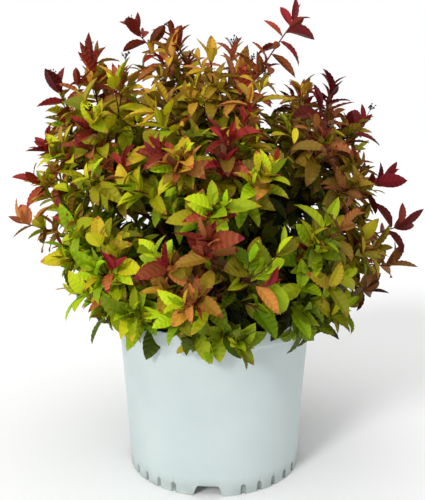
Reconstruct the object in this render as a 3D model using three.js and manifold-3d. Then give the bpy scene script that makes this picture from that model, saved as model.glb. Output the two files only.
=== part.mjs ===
// A potted spirea shrub: a dense, rounded young plant in a white nursery pot.
// Units are millimetres, +Z is up, and -Y is the side that faces a visitor. The
// origin is on the ground, on the pot's axis. Azimuths turn from +X towards +Y.
//
// The shrub grows from one woody knot. Each stem ends where it enters its mass of
// foliage. There the mass's own stem carries on, a fine gap away, and throws shoots
// to the outside of the crown, with leaves in a spiral along each of them.
import * as THREE from "three";
import { mergeVertices } from "three/addons/utils/BufferGeometryUtils.js";
import Module from "manifold-3d";

const wasm = await Module();
wasm.setup();

// ---- Driving dimensions ---------------------------------------------------------

const GAP = 0.3; // clear distance between pieces that bear on each other
const SEED = 20;

const POT = {
  height: 234,
  rimRadius: 141,
  rimBand: 20, // height of the thickened band at the rim
  bandStep: 2, // how far the band stands out of the wall
  bevel: 1.5, // at the rim and under the band
  waistRadius: 131,
  waistHeight: 100,
  footRadius: 126,
  wall: 2.5,
  footWall: 5, // thickness of the standing ring below the floor
  floorHeight: 16,
  sides: 36,
};
const NOTCH = { count: 4, azimuth: 266, footWidth: 42, topWidth: 30, height: 15.5, corner: 5 };
const FLUTE = { between: 5, pitch: 11.25, width: 7, height: 15, depth: 3 }; // between two notches
// How far a cutter runs past the foot, and in from its outside for a notch.
const CUTTER = { below: 2, beyond: 10, inward: 20, segments: 2 };

const MIX = { belowRim: 28, crown: 4, seatRadius: 45 };
const KNOT = { radius: 33, height: 24, lobes: 5, lobeDepth: 0.12, stubSwell: 1.3, sides: 12 };

// The crown's outline is a distance from a point just above the knot: `waist` at the
// level of that point, and more with height, by up to `swell` straight above it.
// Shoots end on an even spiral over it, from `lowest` degrees to the top.
const CROWN = {
  footHeight: 225, heartHeight: 330, waist: 190, swell: 212,
  shoots: 74, lowest: -9, evenness: 0.6, shortest: 0.9, longest: 0.99,
};
// Round one direction the crown is fuller: its outline swells out by up to `swell`.
const SHOULDER = { azimuth: 180, elevation: 62, width: 36, swell: 40 };

// Tiers of foliage masses. A mass keeps to the points that are nearer to its centre
// than to any other mass's, and takes the shoots that end there.
const TIERS = [
  {
    name: "top", count: 1, azimuth: 0, footRadius: 0, lean: 2, stub: 28,
    entryRadius: 6, entryHeight: 385, centreRadius: 0, centreHeight: 530, elevation: 88,
  },
  {
    name: "upper", count: 5, azimuth: 270, footRadius: 14, lean: 22, stub: 24,
    entryRadius: 66, entryHeight: 340, centreRadius: 145, centreHeight: 455, elevation: 48,
  },
  {
    name: "lower", count: 7, azimuth: 270, footRadius: 25, lean: 42, stub: 20,
    entryRadius: 92, entryHeight: 276, centreRadius: 180, centreHeight: 315, elevation: 19,
  },
];

// Long shoots that stand out of the crown, by where their last leaf ends.
const LEADERS = [
  { azimuth: 8, elevation: 73.5, reach: 456 },
  { azimuth: 178, elevation: 73, reach: 440 },
  { azimuth: 184, elevation: 66, reach: 423 },
  { azimuth: 178, elevation: 56, reach: 418 },
  { azimuth: 188, elevation: 45, reach: 358 },
  { azimuth: 186, elevation: 35, reach: 346 },
  { azimuth: 181, elevation: 25, reach: 336 },
  { azimuth: 352, elevation: 64.5, reach: 385 },
  { azimuth: 3, elevation: 52, reach: 373 },
  { azimuth: 354, elevation: 37, reach: 333 },
  { azimuth: 358, elevation: 25, reach: 329 },
  { azimuth: 350, elevation: 15, reach: 292 },
  { azimuth: 4, elevation: 3, reach: 262 },
  { azimuth: 268, elevation: 32, reach: 318 },
  { azimuth: 98, elevation: 30, reach: 318 },
];

const STEM = { footRadius: 4.2, tipRadius: 3.2, sides: 5, steps: 4, rise: 0.5 };
const MASS_STEM = { footRadius: 3.2, tipRadius: 2.6, sides: 5, steps: 2, depth: 0.62 };
const SHOOT = {
  footRadius: 1.7, tipRadius: 1.3, sides: 3, steps: 2, arch: 0.1,
  lowestStart: 0.12, highestStart: 0.94, heightSpan: 110, rolls: [0, 20, 40, 60, 80, 100],
};
const LEAF = {
  perShoot: 6, length: 84, tipLength: 58, width: 0.47, widest: 0.42, fold: 0.06,
  droop: 0.05, rib: 0.034, ribPlace: 0.12, rootDepth: 0.4, tipRootDepth: 2,
  spread: 64, tipSpread: 44, bareShare: 0.34, mostInWood: 7,
  shares: [1, 0.72, 0.5], ranks: [0, 1, 2],
};
// How much a leaf's upper side looks along its twig, away from it, and up.
const LEAF_FACE = { onward: 0.3, outward: -0.2, up: 0.4 };
const VARIATION = { azimuth: 4, height: 8, shortestLeaf: 0.9, longestLeaf: 1.08 };
const GOLDEN_ANGLE = 137.5;
const CLEAR = { space: 0.6, pot: 2, limb: 18, edge: 0.02 };
const SAMPLES = { stem: 24, twig: 12, leaf: 8 };

const mixTop = POT.height - MIX.belowRim + MIX.crown;
const knotSeat = mixTop + GAP;

// ---- Chance, directions and the crown's outline ---------------------------------

// The same number from 0 to 1 for the same keys, in whatever order they are asked.
function chance(...keys) {
  let hash = SEED;
  for (const key of keys) {
    hash = Math.imul(hash ^ (key + 1), 0x9e3779b1);
    hash ^= hash >>> 15;
    hash = Math.imul(hash, 0x85ebca6b);
    hash ^= hash >>> 13;
  }
  return (hash >>> 0) / 2 ** 32;
}

function between(low, high, ...keys) {
  return low + (high - low) * chance(...keys);
}

function vary(most, ...keys) {
  return between(-most, most, ...keys);
}

function radians(degrees) {
  return THREE.MathUtils.degToRad(degrees);
}

function polar(azimuth, radius, height) {
  const angle = radians(azimuth);
  return new THREE.Vector3(radius * Math.cos(angle), radius * Math.sin(angle), height);
}

function heading(azimuth, elevation) {
  return polar(azimuth, Math.cos(radians(elevation)), Math.sin(radians(elevation)));
}

function fromCrownFoot(direction, reach) {
  return direction.clone().multiplyScalar(reach).add(new THREE.Vector3(0, 0, CROWN.footHeight));
}

function crownReach(direction) {
  const ahead = direction.dot(heading(SHOULDER.azimuth, SHOULDER.elevation));
  const shoulder = THREE.MathUtils.smoothstep(ahead, Math.cos(radians(SHOULDER.width)), 1);
  return CROWN.waist + CROWN.swell * direction.z + SHOULDER.swell * shoulder;
}

// ---- Closed solids --------------------------------------------------------------

function solidFrom(geometry) {
  const bare = geometry.index ? geometry.toNonIndexed() : geometry.clone();
  bare.deleteAttribute("normal");
  bare.deleteAttribute("uv");
  const merged = mergeVertices(bare, 1e-3);
  const corners = merged.index.array;
  const faces = [];
  for (let i = 0; i < corners.length; i += 3) {
    const [a, b, c] = [corners[i], corners[i + 1], corners[i + 2]];
    if (a !== b && b !== c && c !== a) faces.push(a, b, c);
  }
  return new wasm.Manifold(new wasm.Mesh({
    numProp: 3,
    vertProperties: Float32Array.from(merged.attributes.position.array),
    triVerts: Uint32Array.from(faces),
  }));
}

function geometryOf(solid) {
  const mesh = solid.getMesh();
  const geometry = new THREE.BufferGeometry();
  geometry.setAttribute("position", new THREE.BufferAttribute(mesh.vertProperties, 3));
  geometry.setIndex(new THREE.BufferAttribute(mesh.triVerts, 1));
  geometry.computeVertexNormals();
  return geometry;
}

function shortestEdge(solid) {
  const { vertProperties: place, triVerts: corners } = solid.getMesh();
  let shortest = Infinity;
  for (let i = 0; i < corners.length; i += 1) {
    const a = 3 * corners[i];
    const b = 3 * corners[i % 3 === 2 ? i - 2 : i + 1];
    const across = [0, 1, 2].map((axis) => place[a + axis] - place[b + axis]);
    shortest = Math.min(shortest, Math.hypot(...across));
  }
  return shortest;
}

// The whole with a piece fused on, or null where they don't join as one clean body:
// where the piece stays loose, seals a hollow, or leaves a sliver.
function joined(whole, piece) {
  const both = whole.add(piece);
  return both.decompose().length === 1 && shortestEdge(both) > CLEAR.edge ? both : null;
}

function fused(geometries) {
  return geometries.map(solidFrom).reduce((whole, piece) => whole.add(piece));
}

function turned(profile, sides) {
  const points = profile.map(([radius, height]) => new THREE.Vector2(radius, height));
  return new THREE.LatheGeometry(points, sides).rotateX(Math.PI / 2);
}

function facedGeometry(points, faces) {
  const geometry = new THREE.BufferGeometry();
  const positions = points.flatMap((point) => point.toArray());
  geometry.setAttribute("position", new THREE.Float32BufferAttribute(positions, 3));
  geometry.setIndex(faces);
  return geometry;
}

// Two directions square to a curve that stays in one plane, at a share of its length.
function crossAxes(curve, share) {
  const tangent = curve.getTangent(share);
  let plane = curve.getTangent(0).cross(curve.getTangent(1));
  if (plane.length() < 1e-3) {
    plane = new THREE.Vector3(0, 0, 1).cross(tangent);
  }
  if (plane.length() < 1e-3) {
    plane = new THREE.Vector3(0, 1, 0);
  }
  const aside = plane.normalize();
  return { tangent, aside, above: tangent.clone().cross(aside).normalize() };
}

// A direction square to the curve, turned about it.
function outwardFrom({ aside, above }, turn) {
  return aside.clone().multiplyScalar(Math.cos(radians(turn)))
    .addScaledVector(above, Math.sin(radians(turn)));
}

// A tapered limb along a curve, with flat ends. `roll` turns its corners about it.
function limb(curve, size, roll = 0) {
  const points = [];
  const faces = [];
  for (let step = 0; step <= size.steps; step += 1) {
    const share = step / size.steps;
    const axes = crossAxes(curve, share);
    const radius = THREE.MathUtils.lerp(size.footRadius, size.tipRadius, share);
    for (let side = 0; side < size.sides; side += 1) {
      const turn = roll + (360 * side) / size.sides;
      points.push(curve.getPoint(share).addScaledVector(outwardFrom(axes, turn), radius));
    }
  }
  for (let step = 0; step < size.steps; step += 1) {
    for (let side = 0; side < size.sides; side += 1) {
      const a = step * size.sides + side;
      const b = step * size.sides + ((side + 1) % size.sides);
      faces.push(a, b, a + size.sides, b, b + size.sides, a + size.sides);
    }
  }
  const last = size.steps * size.sides;
  for (let side = 1; side < size.sides - 1; side += 1) {
    faces.push(0, side + 1, side, last, last + side, last + side + 1);
  }
  return facedGeometry(points, faces);
}

// A point on the axis of such a limb, which runs straight from step to step.
function pointOnLimb(curve, size, share) {
  const step = Math.min(Math.floor(share * size.steps), size.steps - 1);
  const next = curve.getPoint((step + 1) / size.steps);
  return curve.getPoint(step / size.steps).lerp(next, share * size.steps - step);
}

function firstPart(curve, share) {
  const control = curve.v0.clone().lerp(curve.v1, share);
  return new THREE.QuadraticBezierCurve3(curve.v0, control, curve.getPoint(share));
}

// ---- The pot and what fills it --------------------------------------------------

function potProfile() {
  const bandFoot = POT.height - POT.rimBand;
  const shoulder = POT.rimRadius - POT.bandStep;
  return [
    [0, POT.floorHeight],
    [POT.footRadius - POT.footWall, POT.floorHeight],
    [POT.footRadius - POT.footWall, 0],
    [POT.footRadius, 0],
    [POT.waistRadius, POT.waistHeight],
    [shoulder, bandFoot - POT.bevel],
    [POT.rimRadius, bandFoot],
    [POT.rimRadius, POT.height - POT.bevel],
    [POT.rimRadius - POT.bevel, POT.height],
    [shoulder - POT.wall, POT.height],
    [shoulder - POT.wall, bandFoot - POT.bevel],
    [POT.waistRadius - POT.wall, POT.waistHeight],
    [POT.footRadius - POT.wall, POT.floorHeight + POT.wall],
    [0, POT.floorHeight + POT.wall],
  ];
}

// A flat outline on the foot, pushed through the wall at an azimuth.
function footCutter(outline, azimuth, nearRadius) {
  const cutter = new THREE.ExtrudeGeometry(outline, {
    depth: POT.footRadius + CUTTER.beyond - nearRadius,
    bevelEnabled: false,
    curveSegments: CUTTER.segments,
  });
  cutter.rotateX(Math.PI / 2);
  cutter.translate(0, -nearRadius, 0);
  cutter.rotateZ(radians(azimuth + 90));
  return solidFrom(cutter);
}

function notchOutline() {
  const foot = NOTCH.footWidth / 2;
  const top = NOTCH.topWidth / 2;
  const outline = new THREE.Shape();
  outline.moveTo(-foot, -CUTTER.below);
  outline.lineTo(foot, -CUTTER.below);
  outline.lineTo(top + 1, NOTCH.height - NOTCH.corner);
  outline.quadraticCurveTo(top, NOTCH.height, top - NOTCH.corner, NOTCH.height);
  outline.lineTo(NOTCH.corner - top, NOTCH.height);
  outline.quadraticCurveTo(-top, NOTCH.height, -top - 1, NOTCH.height - NOTCH.corner);
  return outline;
}

function fluteOutline() {
  const half = FLUTE.width / 2;
  const outline = new THREE.Shape();
  outline.moveTo(-half, -CUTTER.below);
  outline.lineTo(half, -CUTTER.below);
  outline.lineTo(half, FLUTE.height - half);
  outline.absarc(0, FLUTE.height - half, half, 0, Math.PI);
  return outline;
}

function makePot() {
  let pot = solidFrom(turned(potProfile(), POT.sides));
  const wholeTurn = 360 / NOTCH.count;
  const firstFlute = (wholeTurn - FLUTE.pitch * (FLUTE.between - 1)) / 2;
  for (let notch = 0; notch < NOTCH.count; notch += 1) {
    const azimuth = NOTCH.azimuth + notch * wholeTurn;
    pot = pot.subtract(footCutter(notchOutline(), azimuth, POT.footRadius - CUTTER.inward));
    for (let flute = 0; flute < FLUTE.between; flute += 1) {
      const turn = azimuth + firstFlute + flute * FLUTE.pitch;
      pot = pot.subtract(footCutter(fluteOutline(), turn, POT.footRadius - FLUTE.depth));
    }
  }
  return geometryOf(pot);
}

function wallRadiusInside(height) {
  const bandFoot = POT.height - POT.rimBand - POT.bevel;
  const share = (height - POT.waistHeight) / (bandFoot - POT.waistHeight);
  return THREE.MathUtils.lerp(POT.waistRadius, POT.rimRadius - POT.bandStep, share) - POT.wall;
}

function makeMix() {
  const floor = POT.floorHeight + POT.wall + GAP;
  const edge = POT.height - MIX.belowRim;
  return turned([
    [0, floor],
    [POT.footRadius - POT.wall - GAP, floor],
    [POT.waistRadius - POT.wall - GAP, POT.waistHeight],
    [wallRadiusInside(edge) - GAP, edge],
    [MIX.seatRadius, mixTop],
    [0, mixTop],
  ], POT.sides);
}

// ---- The woody knot and the stems -----------------------------------------------

// Where each mass's stem leaves the knot, where it enters the mass, and the centre
// that the mass keeps to.
function planMasses() {
  const masses = [];
  for (const tier of TIERS) {
    for (let turn = 0; turn < tier.count; turn += 1) {
      const index = masses.length;
      const azimuth = tier.azimuth + (360 / tier.count) * turn;
      const entryAzimuth = tier.count > 1 ? azimuth + vary(VARIATION.azimuth, 1, index) : azimuth;
      const entryHeight = tier.entryHeight + vary(VARIATION.height, 2, index);
      masses.push({
        tier,
        index,
        azimuth,
        name: tier.count > 1 ? `${tier.name}_${turn + 1}` : tier.name,
        centre: polar(azimuth, tier.centreRadius, tier.centreHeight),
        entry: polar(entryAzimuth, tier.entryRadius, entryHeight),
        stubFoot: polar(azimuth, tier.footRadius, knotSeat + KNOT.height / 3),
        lean: heading(azimuth, 90 - tier.lean),
      });
    }
  }
  return masses;
}

function stubEnd(mass) {
  return mass.stubFoot.clone().addScaledVector(mass.lean, mass.tier.stub);
}

// The knot is a low dome with a lobed flare, cut flat where it sits on the mix. Each
// stem leaves it as a short stub.
function makeKnot(masses) {
  const { radius, height } = KNOT;
  const dome = turned([
    [0, 0],
    [radius, 0],
    [0.92 * radius, 0.25 * height],
    [0.6 * radius, 0.8 * height],
    [0, height],
  ], KNOT.sides);
  const place = dome.attributes.position;
  for (let i = 0; i < place.count; i += 1) {
    const turn = Math.atan2(place.getY(i), place.getX(i));
    const flare = 1 + KNOT.lobeDepth * Math.cos(KNOT.lobes * turn) * (1 - place.getZ(i) / height);
    place.setXY(i, place.getX(i) * flare, place.getY(i) * flare);
  }
  dome.translate(0, 0, knotSeat);
  const stubs = masses.map((mass) => limb(
    new THREE.LineCurve3(mass.stubFoot, stubEnd(mass)),
    {
      footRadius: KNOT.stubSwell * STEM.footRadius,
      tipRadius: STEM.footRadius,
      sides: STEM.sides,
      steps: 1,
    },
  ));
  return geometryOf(fused([dome, ...stubs]));
}

function stemCurve(mass) {
  const foot = stubEnd(mass).addScaledVector(mass.lean, GAP);
  const control = foot.clone().addScaledVector(mass.lean, STEM.rise * foot.distanceTo(mass.entry));
  return new THREE.QuadraticBezierCurve3(foot, control, mass.entry);
}

// ---- The foliage masses ---------------------------------------------------------

function massStemCurve(mass) {
  const onward = mass.entry.clone().sub(mass.stem.v1).normalize();
  const foot = mass.entry.clone().addScaledVector(onward, GAP);
  const middle = heading(mass.azimuth, mass.tier.elevation);
  const end = fromCrownFoot(middle, MASS_STEM.depth * crownReach(middle));
  const control = foot.clone().addScaledVector(onward, foot.distanceTo(end) / 2);
  return new THREE.QuadraticBezierCurve3(foot, control, end);
}

// Where all shoots end: the leaders, then an even spiral over the crown.
function crownTips() {
  const tips = LEADERS.map(({ azimuth, elevation, reach }) => (
    fromCrownFoot(heading(azimuth, elevation), reach)));
  const lowest = Math.sin(radians(CROWN.lowest));
  for (let shoot = 0; shoot < CROWN.shoots; shoot += 1) {
    const share = ((shoot + 0.5) / CROWN.shoots) ** CROWN.evenness;
    const rise = THREE.MathUtils.lerp(lowest, 1, share);
    const elevation = THREE.MathUtils.radToDeg(Math.asin(rise));
    const direction = heading(GOLDEN_ANGLE * shoot, elevation);
    const reach = crownReach(direction) * between(CROWN.shortest, CROWN.longest, 4, shoot);
    tips.push(fromCrownFoot(direction, reach));
  }
  return tips;
}

function massAround(tip, masses) {
  return masses.reduce((best, other) => (
    tip.distanceTo(other.centre) < tip.distanceTo(best.centre) ? other : best));
}

// A shoot leaves the mass's stem at a height that follows its tip's, and arches over.
function shootCurve(mass, tip) {
  const height = (tip.z - mass.centre.z) / (2 * SHOOT.heightSpan) + 0.5;
  const clamped = THREE.MathUtils.clamp(height, 0, 1);
  const share = THREE.MathUtils.lerp(SHOOT.lowestStart, SHOOT.highestStart, clamped);
  const start = pointOnLimb(mass.massStem, MASS_STEM, share);
  const control = start.clone().lerp(tip, 0.5);
  control.z += SHOOT.arch * start.distanceTo(tip);
  return new THREE.QuadraticBezierCurve3(start, control, tip);
}

function inOwnSpace(point, mass, masses) {
  return masses.every((other) => {
    if (other === mass) return true;
    const away = other.centre.clone().sub(mass.centre);
    const middle = mass.centre.clone().add(other.centre).multiplyScalar(0.5);
    return point.clone().sub(middle).dot(away) / away.length() < -CLEAR.space;
  });
}

function clearOfPot(point) {
  const level = POT.height + CLEAR.pot;
  return point.z > level || Math.hypot(point.x, point.y) > POT.rimRadius + CLEAR.pot;
}

function clearOfStems(point, masses) {
  const samples = masses.flatMap((mass) => mass.stemSamples);
  return samples.every((sample) => point.distanceTo(sample) > CLEAR.limb);
}

// The corners of a leaf that is folded along its midrib, with a rib below: its root,
// its left and right shoulders, its tip, and the thickest point of the rib.
function leafCorners(root, along, face, length, sunk) {
  const across = face.clone().cross(along);
  const corner = (forward, sideways, rise) => root.clone()
    .addScaledVector(along, forward).addScaledVector(across, sideways).addScaledVector(face, rise);
  const half = (LEAF.width * length) / 2;
  return [
    corner(-sunk, 0, 0),
    corner(LEAF.widest * length, half, LEAF.fold * length),
    corner(LEAF.widest * length, -half, LEAF.fold * length),
    corner(length, 0, -LEAF.droop * length),
    corner(LEAF.ribPlace * length, 0, -LEAF.rib * length),
  ];
}
const LEAF_FACES = [0, 3, 1, 0, 2, 3, 0, 1, 4, 4, 1, 3, 0, 4, 2, 4, 3, 2];

// Which way a leaf points, and which way its upper side looks: up, and out of the crown.
function leafPose(axes, root, turn, spread) {
  const outward = outwardFrom(axes, turn);
  const along = axes.tangent.clone().multiplyScalar(Math.cos(radians(spread)))
    .addScaledVector(outward, Math.sin(radians(spread)));
  const face = root.clone();
  face.z -= CROWN.heartHeight;
  face.normalize();
  face.addScaledVector(axes.tangent, LEAF_FACE.onward).addScaledVector(outward, LEAF_FACE.outward);
  face.z += LEAF_FACE.up;
  face.addScaledVector(along, -face.dot(along)).normalize();
  return { along, face };
}

function leafFits(corners, mass, masses) {
  if (!corners.every((corner) => inOwnSpace(corner, mass, masses))) return false;
  const [root, left, right, tip] = corners;
  const edges = [[root, left], [root, right], [left, tip], [right, tip], [root, tip], [left, right]];
  for (let i = 0; i <= SAMPLES.leaf; i += 1) {
    const share = i / SAMPLES.leaf;
    if (!edges.every(([a, b]) => clearOfPot(a.clone().lerp(b, share)))) return false;
    if (!clearOfStems(root.clone().lerp(tip, share), masses)) return false;
  }
  return true;
}

// The places along a shoot where a leaf may stand, each with the ways it may point.
// The leaves stand in three ranks, in the middle of the twig's three sides, and the
// last one ends at the shoot's tip.
function leafPlaces(shoot, mass) {
  const { twig, tip, index, roll } = shoot;
  const last = LEAF.perShoot - 1;
  const places = [];
  for (let i = 0; i <= last; i += 1) {
    const age = i / last;
    const share = THREE.MathUtils.lerp(LEAF.bareShare, 1, age);
    const axes = crossAxes(twig, share);
    const root = pointOnLimb(twig, SHOOT, share);
    const final = i === last;
    const grown = THREE.MathUtils.lerp(LEAF.length, LEAF.tipLength, age);
    const varied = grown * between(VARIATION.shortestLeaf, VARIATION.longestLeaf, 5, mass.index, index, i);
    const spread = final ? 0 : THREE.MathUtils.lerp(LEAF.spread, LEAF.tipSpread, age);
    const firstTurn = roll + 60 + (final ? 0 : 120 * i);
    places.push({
      root,
      length: final ? root.distanceTo(tip) : varied,
      ways: LEAF.ranks.map((rank) => leafPose(axes, root, firstTurn + 120 * rank, spread)),
      sunk: final ? LEAF.tipRootDepth : LEAF.rootDepth,
    });
  }
  return places;
}

// The mass's stem with every twig that keeps to the mass's space and fuses cleanly.
function growWood(mass, masses) {
  let wood = solidFrom(limb(mass.massStem, MASS_STEM));
  const shoots = [];
  for (const [index, tip] of mass.tips.entries()) {
    const path = shootCurve(mass, tip);
    const twig = firstPart(path, 1 - LEAF.tipLength / path.getLength());
    const places = twig.getPoints(SAMPLES.twig);
    if (!places.every((place) => inOwnSpace(place, mass, masses) && clearOfPot(place))) continue;
    for (const turn of SHOOT.rolls) {
      const roll = 360 * chance(6, mass.index, index) + turn;
      const grown = joined(wood, solidFrom(limb(twig, SHOOT, roll)));
      if (!grown) continue;
      wood = grown;
      shoots.push({ tip, twig, index, roll });
      break;
    }
  }
  return { wood, shoots };
}

// Fuses the first leaf that fits a place: clear of other leaves, and with no more in
// the wood than its own root.
function addLeaf(plant, place, mass, masses) {
  for (const share of LEAF.shares) {
    for (const { along, face } of place.ways) {
      const corners = leafCorners(place.root, along, face, share * place.length, place.sunk);
      if (!leafFits(corners, mass, masses)) continue;
      const leaf = solidFrom(facedGeometry(corners, LEAF_FACES));
      if (leaf.intersect(plant.wood).volume() > LEAF.mostInWood) continue;
      if (plant.leaves && leaf.intersect(plant.leaves).volume() > 0) continue;
      const grown = joined(plant.whole, leaf);
      if (!grown) continue;
      plant.whole = grown;
      plant.leaves = plant.leaves ? plant.leaves.add(leaf) : leaf;
      return;
    }
  }
}

function growMass(mass, masses) {
  const { wood, shoots } = growWood(mass, masses);
  const plant = { wood, whole: wood, leaves: null };
  for (const place of shoots.flatMap((shoot) => leafPlaces(shoot, mass))) {
    addLeaf(plant, place, mass, masses);
  }
  return geometryOf(plant.whole);
}

// ---- Assembly -------------------------------------------------------------------

const finish = {
  pot: new THREE.MeshStandardMaterial({ color: 0xe9ecef, roughness: 0.42, metalness: 0 }),
  mix: new THREE.MeshStandardMaterial({ color: 0x33261d, roughness: 0.95, metalness: 0 }),
  bark: new THREE.MeshStandardMaterial({ color: 0x6a4631, roughness: 0.8, metalness: 0 }),
  top: new THREE.MeshStandardMaterial({ color: 0x9c3b2c, roughness: 0.5, metalness: 0 }),
  upper: new THREE.MeshStandardMaterial({ color: 0xa8703a, roughness: 0.5, metalness: 0 }),
  lower: new THREE.MeshStandardMaterial({ color: 0x93ad3c, roughness: 0.5, metalness: 0 }),
};

function named(name, geometry, material) {
  const mesh = new THREE.Mesh(geometry, material);
  mesh.name = name;
  return mesh;
}

const masses = planMasses();
for (const mass of masses) {
  mass.tips = [];
  mass.stem = stemCurve(mass);
  mass.stemSamples = mass.stem.getPoints(SAMPLES.stem);
  mass.massStem = massStemCurve(mass);
}

for (const tip of crownTips()) massAround(tip, masses).tips.push(tip);

const container = new THREE.Group();
container.add(named("pot", makePot(), finish.pot));
container.add(named("potting_mix", makeMix(), finish.mix));

const shrub = new THREE.Group();
shrub.add(named("stem_base", makeKnot(masses), finish.bark));
for (const mass of masses) {
  shrub.add(named(`stem_${mass.name}`, limb(mass.stem, STEM), finish.bark));
  shrub.add(named(`foliage_${mass.name}`, growMass(mass, masses), finish[mass.tier.name]));
}

const plant = new THREE.Group();
plant.add(container, shrub);
export default plant;
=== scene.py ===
"""The looks of a potted spirea shrub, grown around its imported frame.

Lengths are in metres and angles in degrees. The crown grows from the same sizes and chance
numbers as in the part's source, and is carried on to finer twigs and leaves of real size.
"""

from math import asin, cos, degrees, hypot, pi, radians, sin, sqrt
from types import SimpleNamespace as Sizes

import bmesh
import bpy
import numpy as np
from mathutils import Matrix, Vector, noise
from numpy.linalg import norm


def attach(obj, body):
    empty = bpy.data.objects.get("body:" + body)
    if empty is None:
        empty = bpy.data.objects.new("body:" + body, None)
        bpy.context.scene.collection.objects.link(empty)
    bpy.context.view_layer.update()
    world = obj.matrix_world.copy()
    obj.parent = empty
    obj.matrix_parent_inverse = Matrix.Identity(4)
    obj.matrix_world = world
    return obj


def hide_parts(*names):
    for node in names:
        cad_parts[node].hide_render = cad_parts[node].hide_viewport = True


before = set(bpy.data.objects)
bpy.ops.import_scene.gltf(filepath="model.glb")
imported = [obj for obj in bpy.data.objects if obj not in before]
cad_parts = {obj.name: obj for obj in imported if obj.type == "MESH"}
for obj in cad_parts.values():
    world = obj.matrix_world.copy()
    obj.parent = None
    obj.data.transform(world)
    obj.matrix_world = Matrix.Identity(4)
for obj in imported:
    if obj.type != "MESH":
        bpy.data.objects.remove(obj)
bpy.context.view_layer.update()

# ---- Sizes that the part's source drives ----

SEED = 20
GAP = 0.0003
POT = Sizes(
    height=0.234, rim_radius=0.141, rim_band=0.020, band_step=0.002, bevel=0.0015,
    waist_radius=0.131, waist_height=0.100, foot_radius=0.126, wall=0.0025,
    foot_wall=0.005, floor_height=0.016,
)
NOTCH = Sizes(count=4, azimuth=266, foot_width=0.042, top_width=0.030, height=0.0155, corner=0.005)
FLUTE = Sizes(between=5, pitch=11.25, width=0.007, height=0.015, depth=0.003)
MIX = Sizes(below_rim=0.028, crown=0.004, seat_radius=0.045)
KNOT = Sizes(radius=0.033, height=0.024, lobes=5, lobe_depth=0.12, stub_swell=1.3)
CROWN = Sizes(
    foot_height=0.225, heart_height=0.330, waist=0.190, swell=0.212,
    shoots=74, lowest=-9, evenness=0.6, shortest=0.9, longest=0.99,
)
SHOULDER = Sizes(azimuth=180, elevation=62, width=36, swell=0.040)
TIERS = [
    Sizes(
        name="top", count=1, azimuth=0, foot_radius=0, lean=2, stub=0.028, entry_radius=0.006,
        entry_height=0.385, centre_radius=0, centre_height=0.530, elevation=88,
    ),
    Sizes(
        name="upper", count=5, azimuth=270, foot_radius=0.014, lean=22, stub=0.024, entry_radius=0.066,
        entry_height=0.340, centre_radius=0.145, centre_height=0.455, elevation=48,
    ),
    Sizes(
        name="lower", count=7, azimuth=270, foot_radius=0.025, lean=42, stub=0.020, entry_radius=0.092,
        entry_height=0.276, centre_radius=0.180, centre_height=0.315, elevation=19,
    ),
]
LEADERS = [  # azimuth, elevation and reach of the long shoots that stand out of the crown
    (8, 73.5, 0.456), (178, 73, 0.440), (184, 66, 0.423), (178, 56, 0.418), (188, 45, 0.358),
    (186, 35, 0.346), (181, 25, 0.336), (352, 64.5, 0.385), (3, 52, 0.373), (354, 37, 0.333),
    (358, 25, 0.329), (350, 15, 0.292), (4, 3, 0.262), (268, 32, 0.318), (98, 30, 0.318),
]
STEM = Sizes(foot_radius=0.0042, tip_radius=0.0032, rise=0.5)
MASS_STEM = Sizes(foot_radius=0.0032, tip_radius=0.0022, depth=0.62)
SHOOT = Sizes(
    foot_radius=0.0017, tip_radius=0.0008, arch=0.1, lowest_start=0.12, highest_start=0.94,
    height_span=0.110,
)
VARIATION = Sizes(azimuth=4, height=0.008)
GOLDEN_ANGLE = 137.5
MIX_EDGE = POT.height - MIX.below_rim
MIX_TOP = MIX_EDGE + MIX.crown
KNOT_SEAT = MIX_TOP + GAP

# ---- Sizes of what is finer than the source ----

# Depths are shares of the crown's reach, and the lower `crowding` is, the more tips lie far
# out. A start is a share along the shoot.
FINE = Sizes(
    lowest=-12, evenness=0.62, deep=0.30, crowding=0.62, turn_off=42, earliest_start=0.08,
    latest_start=0.86, start_step=0.04, foot_radius=0.0011, tip_radius=0.0006, lift=0.22,
)
FILLS = [
    Sizes(key=11, tips=1760, turn=64, outermost=1.0, in_openings=False),
    Sizes(key=50, tips=330, turn=20, outermost=0.90, in_openings=True),
]
# A pair is a range drawn from for each leaf, and ages run from a shoot's youngest leaf at 0
# to its oldest at 1.
LEAF = Sizes(
    length=0.046, lengths=(0.72, 1.12), youngest=0.60, leader_youngest=0.78, oldest=0.82,
    old_ages=(0.75, 1.0), tip_length=0.032, least_wood=0.3, spacing=0.0125,
    leader_step=0.0085, spacings=(0.8, 1.2), bare=0.12, fine_bare=0.05,
    rosette=5, green_rosette=3, broad_in_rosette=2, rosette_step=0.0040, opening=2,
    turns=(-24, 24), spread=68, tip_spread=22, spreads=(-14, 14), droops=(-0.10, 0.55),
    droop_ages=(0.05, 0.5), upturn=1.0, apart=0.011, thinned=0.75, slim_in_sun=0.75,
)
FACING = Sizes(tipward=0.45, outward=0.85, upward=0.45, leader_aside=1.1)
# Patches of the crown, each an azimuth, an elevation and a width: thin ones that show its
# dark inside, where the leaves also get painted shade, and crimson and bronze ones.
OPENINGS = [(282, 13, 7), (277, 23, 9), (300, 46, 7), (298, 10, 9)]
CRIMSON = [
    (279, 54, 5), (252, 52, 3), (239, 51, 3), (261, 43, 3), (250, 39, 4), (267, 31, 4),
    (253, 25, 3), (222, 51, 3), (262, 72, 3), (290, 63, 3), (204, 61, 4), (270, 49, 3),
]
BRONZE = [(263, 26, 9), (264, 48, 5), (250, 21, 4)]
# Steps along each kind of limb, and sides round it.
TUBE = Sizes(bough=(8, 7), shoot=(10, 6), twig=(6, 4), stub=(6, 14), dry_stem=(2, 4), stalk=(2, 3))

UP = np.array([0.0, 0.0, 1.0])


# ---- Chance and directions, as in the source ----

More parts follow.
